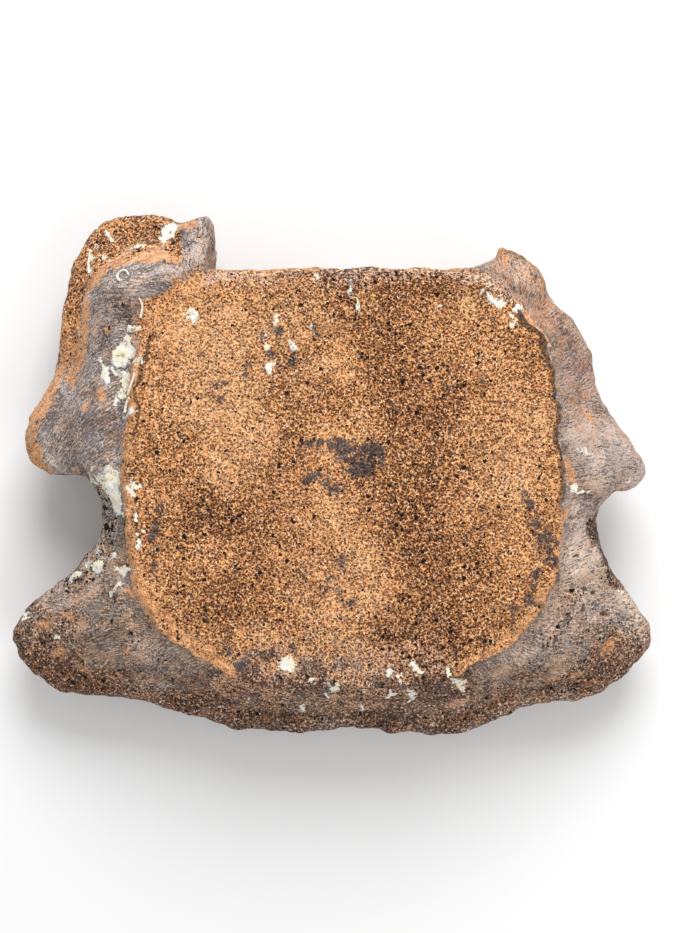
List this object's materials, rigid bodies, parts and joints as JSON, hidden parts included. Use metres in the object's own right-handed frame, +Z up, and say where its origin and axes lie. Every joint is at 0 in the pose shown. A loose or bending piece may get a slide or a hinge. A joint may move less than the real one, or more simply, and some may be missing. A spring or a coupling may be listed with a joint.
{
  "type": "mammoth neck vertebra",
  "caption": "Weathered mammoth neck vertebra, the arch and the side processes broken away, lying on one end face with the other, spongy end face up.",
  "frame": {"origin": "under the middle of the bone's outline, on the surface that it lies on", "axes": "+X to the right in the picture, +Y towards the back of the animal (up in the picture), +Z up along the bone's own length"},
  "size_m": [0.2246, 0.1834, 0.058],
  "materials": {
    "spongy_bone": "matt, ochre-brown spongy bone full of fine open pores",
    "cortical_bone": "matt, grey-brown weathered outer bone with fine fibres and pale lime crusts"
  },
  "bodies": {
    "root": {"centrum": "spongy_bone", "left_pedicle": "cortical_bone", "left_upper_root": "cortical_bone", "left_lower_root": "cortical_bone", "right_pedicle": "cortical_bone", "right_upper_root": "cortical_bone", "right_lower_root": "cortical_bone"}
  },
  "joints": []
}
